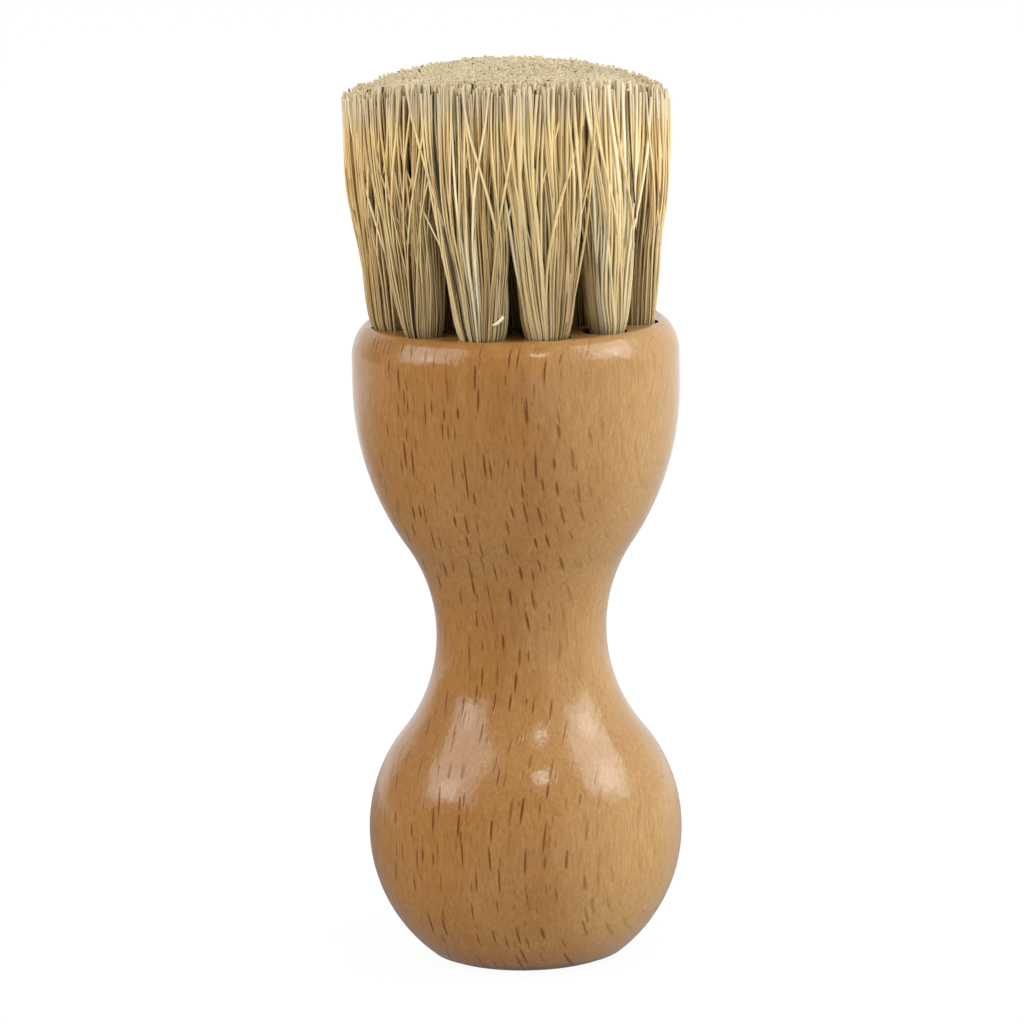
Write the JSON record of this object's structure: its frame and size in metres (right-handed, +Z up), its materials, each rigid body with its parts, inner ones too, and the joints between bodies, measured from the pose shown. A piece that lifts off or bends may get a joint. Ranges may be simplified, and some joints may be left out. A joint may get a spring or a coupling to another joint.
{
  "type": "shoe shine brush",
  "caption": "Small dauber brush: a turned beech handle with a round knob, waisted neck and wide head that holds a round block of natural bristle tufts.",
  "frame": {"origin": "centre of the flat foot, on the surface that the brush stands on", "axes": "+Z up along the turned handle from the foot to the bristle tips; -Y is the side seen in the picture, +X to its right"},
  "size_m": [0.0324, 0.0324, 0.0896],
  "materials": {
    "beech": "clear semi-gloss lacquer over fine beech grain with short dark flecks",
    "bristle": "natural hog bristle, cream to straw with a few dark hairs, trimmed to a low dome",
    "anchor_wire": "plain flat steel wire, sheared ends"
  },
  "bodies": {
    "root": {"handle": "beech", "tuft_outer_01": "bristle", "tuft_outer_02": "bristle", "tuft_outer_03": "bristle", "tuft_outer_04": "bristle", "tuft_outer_05": "bristle", "tuft_outer_06": "bristle", "tuft_outer_07": "bristle", "tuft_outer_08": "bristle", "tuft_outer_09": "bristle", "tuft_outer_10": "bristle", "tuft_outer_11": "bristle", "tuft_outer_12": "bristle", "tuft_middle_01": "bristle", "tuft_middle_02": "bristle", "tuft_middle_03": "bristle", "tuft_middle_04": "bristle", "tuft_middle_05": "bristle", "tuft_middle_06": "bristle", "tuft_middle_07": "bristle", "tuft_middle_08": "bristle", "tuft_inner_01": "bristle", "tuft_inner_02": "bristle", "tuft_inner_03": "bristle", "tuft_inner_04": "bristle", "anchors_outer": "anchor_wire", "anchors_middle": "anchor_wire", "anchors_inner": "anchor_wire"}
  },
  "joints": []
}
